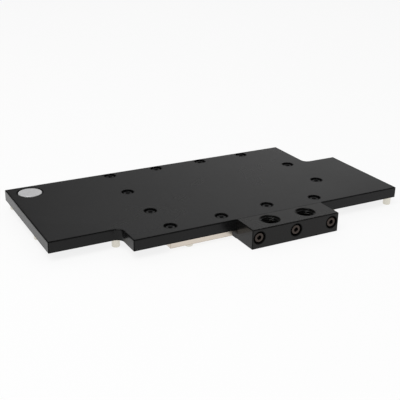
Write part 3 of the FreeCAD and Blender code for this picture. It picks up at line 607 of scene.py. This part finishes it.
@dataclass
class CapScrew:
    """A hexagon socket cap screw, modelled once and copied to its places.

    Attributes:
        head_radius: Head radius over the knurl.
        head_height: Head height.
        knurled: Share of the head's height that is knurled.
        rib: Height of the knurl's ribs.
        flank: How far a rib's flanks lean in.
        rim: Rounding of the head's top.
        flats: Hexagon socket across flats.
        socket: Depth of the socket.
        ring: Radius of the ring round the socket's mouth.
        collar: Width of the collar between the ring and the socket.
        lead: Depth of the socket's tapered mouth.
        narrowing: The socket's width below the taper, against its mouth.
        cone: Width of the slope to the drilled cone in the socket's floor.
        cone_depth: Depth of the cone.
        shank: Radius of the shank.
        length: Length under the head.
        tip: Length of the tapered tip.
        tip_share: Width of the tip's end, against the shank.
        sides: Corners of the round parts.
    """

    head_radius: float = 3.38
    head_height: float = 3.7
    knurled: float = 0.7
    rib: float = 0.08
    flank: float = 0.06
    rim: float = 0.35
    flats: float = 3.2
    socket: float = 2.8
    ring: float = 1.792
    collar: float = 0.16
    lead: float = 0.12
    narrowing: float = 0.95
    cone: float = 0.72
    cone_depth: float = 0.35
    shank: float = 1.95
    length: float = 6.0
    tip: float = 0.4
    tip_share: float = 0.8
    sides: int = 48

    def build(self, name: str) -> bpy.types.Object:
        """Model the screw with its head's underside at the origin and its head up.

        Args:
            name: The piece's name.

        Returns:
            The screw.
        """
        deselect()
        body = self.knurled * self.head_height
        bpy.ops.mesh.primitive_cylinder_add(vertices=self.sides, radius=(self.head_radius - self.rib) * MM,
                                            depth=body * MM, location=(0, 0, body / 2 * MM))
        bench = Bench(name)
        self.knurl(bench)
        self.crown(bench, body)
        self.recess(bench)
        self.stem(bench, body)
        screw = bench.close()
        settle(screw)
        return screw

    def knurl(self, bench: Bench) -> None:
        """Raise a rib on every other side of the head.

        Args:
            bench: The screw on the bench.
        """
        step = 2 * math.pi / self.sides

        def rib(face: bmesh.types.BMFace) -> bool:
            """Whether a face is one of the ribs."""
            middle = face.calc_center_median()
            turn = round((math.atan2(middle.y, middle.x) % (2 * math.pi)) / step - 0.5)
            return abs(face.normal.z) < 0.5 and turn % 2 == 0

        bench.pick("FACE", rib)
        bench.inset(self.flank * MM, self.rib * MM, each=True)

    def crown(self, bench: Bench, body: float) -> None:
        """Raise the smooth band over the knurl and round its rim.

        Args:
            bench: The screw on the bench.
            body: Height of the knurled part.
        """
        half = body / 2 * MM
        band = (self.head_height - body) * MM
        bench.pick_disc(1, half)
        bench.rise(band)
        bench.pick("EDGE", lambda edge: all(abs(end.co.z - half - band) < CLOSE for end in edge.verts))
        bpy.ops.mesh.bevel(offset=self.rim * MM, segments=3, affect="EDGES")

    def recess(self, bench: Bench) -> None:
        """Shape the hexagon socket in the head's top.

        The last inset is wider than the points beside the hexagon's corners have room for, so the
        outline of the socket's floor crosses itself there.

        Args:
            bench: The screw on the bench.
        """
        shape = bmesh.from_edit_mesh(bench.piece.data)
        top = max(vertex.co.z for vertex in shape.verts)
        reach = max(Vector(vertex.co[:2]).length for vertex in shape.verts
                    if abs(vertex.co.z - top) < CLOSE)

        def hexagon(place: Vector) -> Vector:
            """Move a point of a circle onto the hexagon."""
            turn = math.atan2(place.y, place.x)
            inner = math.radians((math.degrees(turn) % 60) - 30)
            radius = self.flats / 2 * MM / math.cos(inner)
            return Vector((radius * math.cos(turn), radius * math.sin(turn), place.z))

        bench.pick_disc(1, top)
        bench.inset(reach - self.ring * MM)
        bench.inset(self.collar * MM)
        bench.move_picked(hexagon)
        bench.rise(-self.lead * MM)
        bench.widen(self.narrowing)
        bench.rise((self.lead - self.socket) * MM)
        bench.inset(self.cone * MM, -self.cone_depth * MM)

    def stem(self, bench: Bench, body: float) -> None:
        """Draw the shank out of the head's underside.

        Args:
            bench: The screw on the bench.
            body: Height of the knurled part.
        """
        bench.pick_disc(-1, -body / 2 * MM)
        bench.inset((self.head_radius - self.rib - self.shank) * MM)
        bench.rise(-(self.length - self.tip) * MM)
        bench.rise(-self.tip * MM)
        bench.widen(self.tip_share)


@dataclass
class ScrewRow:
    """Screws of one kind at their places.

    Attributes:
        name: The piece's name.
        node: The solid that the piece stands for.
        slot: Name of a material slot for the screws; not used.
        screw: The screw's sizes.
        places: Where the underside of each head lies.
        way: Which way the heads face.
        turns: How far each screw was turned when it was tightened, in degrees, used in order.
    """

    name: str
    node: str
    slot: str
    screw: CapScrew
    places: list[Place]
    way: Way
    turns: tuple[float, ...] = (8.0, 41.0, 23.0, 55.0, 14.0, 33.0, 2.0)

    def build(self, material: bpy.types.Material) -> bpy.types.Object:
        """Copy the screw to its places and join the copies.

        Args:
            material: The screws' finish.

        Returns:
            The joined piece.
        """
        first = self.screw.build(self.name)
        copies = [first]
        for _ in self.places[1:]:
            select(first)
            bpy.ops.object.duplicate(linked=False)
            copies.append(bpy.context.active_object)
        for number, (copy, place) in enumerate(zip(copies, self.places)):
            turn = Matrix.Rotation(math.radians(self.turns[number % len(self.turns)]), 4, "Z")
            lean = Matrix.Rotation(math.radians(90.0 if self.way is Way.FRONT else 0.0), 4, "X")
            copy.matrix_world = Matrix.Translation(Vector(place) * MM) @ lean @ turn
            settle(copy)
        select(*copies)
        bpy.ops.object.join()
        dress(first, material)
        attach(first, "root")
        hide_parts(self.node)
        return first


@dataclass
class PortThread:
    """The ridge of one port's upper thread, wound from a tapered section.

    Attributes:
        name: The piece's name.
        x: The port's axis along X.
        y: The port's axis along Y.
        root: Radius at the ridge's foot, just inside the wall.
        crest: Radius at the ridge's crest.
        pitch: Height of one turn.
        foot: Share of the pitch that the ridge's foot takes.
        top: Height of the crest against the foot.
        rounding: Rounding of the crest's corners.
        low: Height of the ridge's middle at its start.
        turns: Turns of the ridge.
        start: Where the ridge starts, in degrees.
        steps: Steps in one turn.
    """

    name: str
    x: float
    y: float = -73.1
    root: float = 6.62
    crest: float = 5.74
    pitch: float = 1.337
    foot: float = 0.92
    top: float = 0.22
    rounding: float = 0.12
    low: float = 9.65
    turns: float = 2.5
    start: float = 60.0
    steps: int = 96

    def build(self, material: bpy.types.Material) -> bpy.types.Object:
        """Wind the ridge. Its two ends stay open.

        Args:
            material: The thread's finish.

        Returns:
            The ridge.
        """
        deselect()
        bpy.ops.mesh.primitive_plane_add(size=MM)
        bench = Bench(self.name)
        bpy.ops.mesh.select_all(action="SELECT")
        bpy.ops.transform.rotate(value=math.radians(90), orient_axis="X", center_override=(0, 0, 0))
        bpy.ops.transform.resize(value=(self.root - self.crest, 1.0, self.foot * self.pitch),
                                 center_override=(0, 0, 0))
        bench.pick("VERT", lambda vertex: vertex.co.x < 0)
        bpy.ops.transform.resize(value=(1.0, 1.0, self.top), center_override=(0, 0, 0))
        bpy.ops.mesh.bevel(offset=self.rounding * MM, segments=3, affect="VERTICES")
        bpy.ops.mesh.select_all(action="SELECT")
        bpy.ops.transform.translate(value=((self.root + self.crest) / 2 * MM, 0, self.low * MM))
        bpy.ops.mesh.delete(type="ONLY_FACE")
        bpy.ops.object.mode_set(mode="OBJECT")
        self.wind(bench.piece)
        bpy.ops.object.mode_set(mode="EDIT")
        ridge = bench.close(smooth=30.0)
        ridge.matrix_world = (Matrix.Translation(Vector((self.x, self.y, 0)) * MM)
                              @ Matrix.Rotation(math.radians(self.start), 4, "Z"))
        settle(ridge)
        dress(ridge, material)
        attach(ridge, "root")
        return ridge

    def wind(self, piece: bpy.types.Object) -> None:
        """Turn the section into a helix.

        Args:
            piece: The section's outline.
        """
        rounds = math.ceil(self.turns)
        helix = piece.modifiers.new("helix", "SCREW")
        helix.axis = "Z"
        helix.iterations = rounds
        helix.angle = 2 * math.pi * self.turns / rounds
        helix.screw_offset = self.pitch * MM * self.turns / rounds
        helix.steps = helix.render_steps = self.steps
        helix.use_merge_vertices = False
        bpy.context.view_layer.objects.active = piece
        bpy.ops.object.modifier_apply(modifier=helix.name)


@dataclass
class ColdPlate:
    """The whole object: finishes for the frame's nodes, and the new pieces.

    Attributes:
        row_start: X of the first screw of both rows on the cover.
        back_row: Y of the back row.
        back_pitch: Spacing of the back row.
        front_row: Y of the front row.
        front_pitch: Spacing of the front row.
        passage_row: Y of the third front screw, which makes way for the inlet's passage.
        columns: X of the left and the right column on the cover.
        column_rows: Y of the screws in each column.
        head_seat: Z of the cover screws' seats.
        terminal_start: X of the first screw in the terminal's front.
        terminal_pitch: Spacing of the terminal's screws.
        terminal_seat: Y of the terminal screws' seats.
        terminal_axis: Z of the terminal screws.
        terminal_length: Length of the terminal screws under the head.
        outlet: X of the outlet port, with the inlet's at 0.
    """

    row_start: float = -64.85
    back_row: float = 50.3
    back_pitch: float = 38.8
    front_row: float = -53.8
    front_pitch: float = 38.4
    passage_row: float = -50.7
    columns: tuple[float, float] = (-65.9, 73.3)
    column_rows: tuple[float, float] = (-25.1, 13.7)
    head_seat: float = 9.4
    terminal_start: float = -14.7
    terminal_pitch: float = 29.1
    terminal_seat: float = -79.85
    terminal_axis: float = 7.7
    terminal_length: float = 20.0
    outlet: float = 28.8

    def finishes(self, effects: Effects) -> dict[str, bpy.types.Material]:
        """Build the finishes.

        Args:
            effects: The shared effects.

        Returns:
            Finish name to material.
        """
        made = [
            # Both black plastics get painted shade along their edges: a near-black edge colour and metal
            # that dims the sheen draw a dark line.
            Finish("milled_black_plastic", colour=(0.006, 0.006, 0.0062), wear_and_painted_light=(0.001, 0.001, 0.001),
                   dust=(0.05, 0.05, 0.05), roughness=0.24, roughness_up=0.29, specular=0.205,
                   pattern=Pattern.LINES, stretch=(30.0, 2200.0, 2200.0), depth=0.000008, tone=0.12,
                   edge=0.0015, edge_rough=0.5, edge_shade_metal=0.95, edge_soft=0.2, patchy=0.2),
            Finish("terminal_black_plastic", colour=(0.007, 0.0066, 0.0064), wear_and_painted_light=(0.001, 0.001, 0.001),
                   dust=(0.05, 0.05, 0.05), roughness=0.24, roughness_up=0.28, specular=0.22,
                   size=2600.0, depth=0.000012, tone=0.10,
                   edge=0.0013, edge_rough=0.5, edge_shade_metal=0.95, edge_soft=0.2, patchy=0.2),
            # The thread's lighter edge colour is a painted highlight, a glint along its crests.
            Finish("cut_thread", colour=(0.005, 0.005, 0.005), wear_and_painted_light=(0.08, 0.08, 0.08),
                   roughness=0.16, roughness_up=0.24, specular=0.4,
                   size=2600.0, depth=0.000008, edge=0.00015, patchy=0.3),
            # The base's brown edge colour is painted shade, a dark brown line along its edges.
            Finish("satin_nickel", colour=(0.70, 0.63, 0.55), wear_and_painted_light=(0.40, 0.29, 0.19),
                   roughness=0.30, roughness_up=0.32, metallic=1.0,
                   pattern=Pattern.LINES, depth=0.00002, tone=0.06, edge=0.0006, patchy=0.3),
            Finish("turned_nickel", colour=(0.72, 0.69, 0.61), wear_and_painted_light=(0.60, 0.56, 0.48),
                   roughness=0.28, roughness_up=0.30, metallic=1.0,
                   size=2200.0, depth=0.00001, tone=0.05, edge=0.0001),
            Finish("rolled_sheet", colour=(0.56, 0.56, 0.57), wear_and_painted_light=(0.68, 0.68, 0.69),
                   roughness=0.32, roughness_up=0.32, metallic=1.0,
                   pattern=Pattern.LINES, stretch=(2500.0, 15.0, 2500.0), depth=0.00002, tone=0.06),
            Finish("moulded_rubber", colour=(0.012, 0.012, 0.012), wear_and_painted_light=(0.03, 0.03, 0.03),
                   roughness=0.6, roughness_up=0.62, specular=0.3, size=3200.0, depth=0.00002),
            Finish("black_oxide", colour=(0.008, 0.008, 0.0085), wear_and_painted_light=(0.02, 0.02, 0.02),
                   roughness=0.34, roughness_up=0.32, specular=0.22,
                   size=2400.0, depth=0.00001, edge=0.0002),
            Finish("brown_oxide", colour=(0.065, 0.053, 0.047), wear_and_painted_light=(0.08, 0.066, 0.06),
                   roughness=0.38, roughness_up=0.40, metallic=1.0,
                   size=2400.0, depth=0.00001, edge=0.0001),
            Finish("turned_badge", colour=(0.90, 0.90, 0.91), wear_and_painted_light=(0.90, 0.90, 0.90),
                   roughness=0.26, roughness_up=0.40, metallic=0.65,
                   pattern=Pattern.RINGS, centre=(-129.4, 42.8, 0.0), size=3500.0, depth=0.00002,
                   tone=0.05, edge=0.0001),
        ]
        return {finish.name: finish.material(effects) for finish in made}

    @staticmethod
    def finish_of(node: str) -> str:
        """Name the finish of a node of the frame.

        Args:
            node: The node's name.

        Returns:
            The finish's name.
        """
        named = {
            "cover_plate": "milled_black_plastic", "terminal_block": "terminal_black_plastic",
            "base_plate": "satin_nickel", "jet_plate": "rolled_sheet", "badge_disc": "turned_badge",
            "cover_screws": "black_oxide", "terminal_screws": "brown_oxide",
        }
        if node.endswith("seal"):
            return "moulded_rubber"
        return named.get(node, "turned_nickel")

    def dress_frame(self, materials: dict[str, bpy.types.Material]) -> None:
        """Give every node of the frame its finish.

        Args:
            materials: Finish name to material.
        """
        for name, node in sorted(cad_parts.items()):
            dress(node, materials[self.finish_of(name)])
            LOG.info("%s: %s", name, self.finish_of(name))

    def cover_screw_places(self) -> list[Place]:
        """List the seats of the cover's screws.

        Returns:
            The places, along the rows and then the columns.
        """
        depths = (self.front_row, self.front_row, self.passage_row, self.front_row)
        back = [(self.row_start + self.back_pitch * number, self.back_row) for number in range(len(depths))]
        front = [(self.row_start + self.front_pitch * number, depth) for number, depth in enumerate(depths)]
        sides = [(x, y) for x in self.columns for y in self.column_rows]
        return [(x, y, self.head_seat) for x, y in (*back, *front, *sides)]

    def terminal_screw_places(self) -> list[Place]:
        """List the seats of the terminal's screws.

        Returns:
            The places, from the left.
        """
        return [(self.terminal_start + self.terminal_pitch * number, self.terminal_seat, self.terminal_axis)
                for number in range(3)]

    def build(self) -> None:
        """Dress the frame and model the new pieces."""
        effects = Effects()
        materials = self.finishes(effects)
        self.dress_frame(materials)
        rows = [
            ScrewRow("cover_cap_screws", "cover_screws", "black_screw", CapScrew(),
                     self.cover_screw_places(), Way.UP),
            ScrewRow("terminal_cap_screws", "terminal_screws", "bronze_screw",
                     CapScrew(length=self.terminal_length), self.terminal_screw_places(), Way.FRONT),
        ]
        for row in rows:
            piece = row.build(materials[self.finish_of(row.node)])
            LOG.info("%s: %d screws, %d faces", piece.name, len(row.places), len(piece.data.polygons))
        threads = (PortThread("inlet_port_thread", x=0.0),
                   PortThread("outlet_port_thread", x=self.outlet, start=150.0))
        for thread in threads:
            ridge = thread.build(materials["cut_thread"])
            LOG.info("%s: %.1f turns, %d faces", ridge.name, thread.turns, len(ridge.data.polygons))


@dataclass(frozen=True)
class Lamp:
    """A soft square lamp.

    Attributes:
        name: The lamp's name.
        place: Where it hangs, in metres.
        power: Power in watts.
        size: Side of its face, in metres.
        target: Where it points, in metres.
    """

    name: str
    place: Place
    power: float
    size: float = 0.9
    target: Place = (0.0, 0.0, 0.0)

    def hang(self) -> None:
        """Hang the lamp."""
        light = bpy.data.lights.new(self.name, "AREA")
        light.shape = "SQUARE"
        light.size = self.size
        light.energy = self.power
        lamp = bpy.data.objects.new(self.name, light)
        lamp.location = self.place
        aim = Vector(self.target) - Vector(self.place)
        lamp.rotation_euler = aim.to_track_quat("-Z", "Y").to_euler()
        lamp.visible_camera = False
        bpy.context.scene.collection.objects.link(lamp)


@dataclass(frozen=True)
class Studio:
    """Camera, pale floor, soft lamps and surroundings.

    Attributes:
        eye: The camera's place, in millimetres.
        yaw: Turn of the view from +Y, in degrees.
        pitch: How far the view looks down, in degrees.
        roll: Lean of the view, in degrees.
        lens: Focal length, in millimetres.
        sensor: Width of the sensor, in millimetres.
        floor: Side of the floor, in metres.
        floor_gap: How far the floor lies under the object, in metres.
        floor_grey: Lightness of the floor where it is lit.
        floor_glow: How much of the floor's white shows to the camera and in reflections.
        ambient: Strength of the even light from all round.
        ceiling: Brightness overhead in reflections, with 1 near the floor.
        ceiling_from: Heights between which the brightness falls to the ceiling's.
        sides: Brightness on the left and on the right in reflections.
        sides_from: Places across between which the left gives way to the right.
    """

    eye: Place = (-270.09, -468.31, 220.54)
    yaw: float = -28.70
    pitch: float = 22.13
    roll: float = -1.141
    lens: float = 69.73
    sensor: float = 36.0
    floor: float = 4.0
    floor_gap: float = 0.00005
    floor_grey: float = 0.92
    floor_glow: float = 0.84
    ambient: float = 0.5
    ceiling: float = 0.12
    ceiling_from: tuple[float, float] = (0.05, 0.42)
    sides: tuple[float, float] = (0.3, 1.15)
    sides_from: tuple[float, float] = (0.25, 0.55)

    def set_camera(self) -> None:
        """Stand the camera where the photograph was taken."""
        yaw, pitch, roll = (math.radians(angle) for angle in (self.yaw, self.pitch, self.roll))
        ahead = Vector((-math.sin(yaw) * math.cos(pitch), math.cos(yaw) * math.cos(pitch),
                        -math.sin(pitch)))
        level = Vector((math.cos(yaw), math.sin(yaw), 0))
        below = ahead.cross(level)
        right = math.cos(roll) * level + math.sin(roll) * below
        down = math.cos(roll) * below - math.sin(roll) * level
        camera = bpy.data.objects.new("camera", bpy.data.cameras.new("camera"))
        camera.data.lens = self.lens
        camera.data.sensor_width = self.sensor
        camera.data.clip_start = 0.01
        camera.matrix_world = (Matrix.Translation(Vector(self.eye) * MM)
                               @ Matrix((right, -down, -ahead)).transposed().to_4x4())
        bpy.context.scene.collection.objects.link(camera)
        bpy.context.scene.camera = camera

    @staticmethod
    def seen(graph: Graph) -> bpy.types.NodeSocket:
        """Mask of the rays that see the surroundings rather than being lit by them.

        Args:
            graph: A material's or the world's graph.

        Returns:
            1 for camera, glossy and transmission rays.
        """
        path = graph.add("LightPath").outputs
        gloss = graph.maths("MAXIMUM", path["Is Glossy Ray"], path["Is Transmission Ray"])
        return graph.maths("MAXIMUM", path["Is Camera Ray"], gloss)

    def lay_floor(self) -> None:
        """Lay the pale floor, which keeps the object's shadow."""
        deselect()
        bpy.ops.mesh.primitive_plane_add(size=self.floor, location=(0, 0, -self.floor_gap))
        floor = bpy.context.active_object
        floor.name = "floor"
        settle(floor)
        material = bpy.data.materials.new("white_floor")
        material.use_nodes = True
        material.node_tree.nodes.clear()
        graph = Graph(material.node_tree)
        lit = graph.add("BsdfDiffuse", {"Color": (self.floor_grey, self.floor_grey, self.floor_grey, 1.0)})
        glow = graph.add("Emission", {"Color": WHITE, "Strength": 1.0})
        share = graph.maths("MULTIPLY", self.seen(graph), self.floor_glow)
        mixed = graph.add("MixShader", {0: share, 1: lit.outputs[0], 2: glow.outputs[0]})
        graph.add("OutputMaterial", {"Surface": mixed.outputs[0]})
        floor.data.materials.append(material)
        floor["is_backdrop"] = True

    def fill_world(self) -> None:
        """Surround the object with white near the floor, darker overhead and on the left."""
        world = bpy.data.worlds.new("studio")
        bpy.context.scene.world = world
        world.use_nodes = True
        world.node_tree.nodes.clear()
        graph = Graph(world.node_tree)
        direction = graph.add("TexCoord").outputs["Generated"]
        across, _, height = graph.add("SeparateXYZ", {0: direction}).outputs
        level = graph.maths("MULTIPLY", graph.spread(height, *self.ceiling_from, 1.0, self.ceiling),
                            graph.spread(across, *self.sides_from, *self.sides))
        shown = graph.add("Background", {"Color": WHITE, "Strength": level})
        light = graph.add("Background", {"Color": WHITE, "Strength": self.ambient})
        mixed = graph.add("MixShader", {0: self.seen(graph), 1: light.outputs[0], 2: shown.outputs[0]})
        graph.add("OutputWorld", {"Surface": mixed.outputs[0]})

    def lamps(self) -> Iterable[Lamp]:
        """List the lamps.

        Returns:
            The key lamp and the back lamp.
        """
        return (
            Lamp("key_lamp", place=(-0.55, -0.35, 1.15), power=9.0),
            Lamp("back_lamp", place=(0.45, 0.9, 0.9), power=1.2),
        )

    def build(self) -> None:
        """Set up the camera, the floor, the surroundings and the lamps."""
        self.set_camera()
        self.lay_floor()
        self.fill_world()
        for lamp in self.lamps():
            lamp.hang()
            LOG.info("%s: %.1f W", lamp.name, lamp.power)
        bpy.context.scene.view_settings.view_transform = "Standard"


def box_now() -> list[list[float]]:
    """The shown object's box as plain numbers.

    Returns:
        Its lowest and highest corners.
    """
    bpy.context.view_layer.update()
    return [[float(value) for value in corner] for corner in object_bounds()]


def main() -> None:
    """Build the scene."""
    logging.basicConfig(level=logging.INFO, format="%(name)s: %(message)s")
    cad_box = box_now()
    Studio().build()
    ColdPlate().build()
    {"cad": cad_box, "visual": box_now()}


if __name__ == "__main__":
    main()
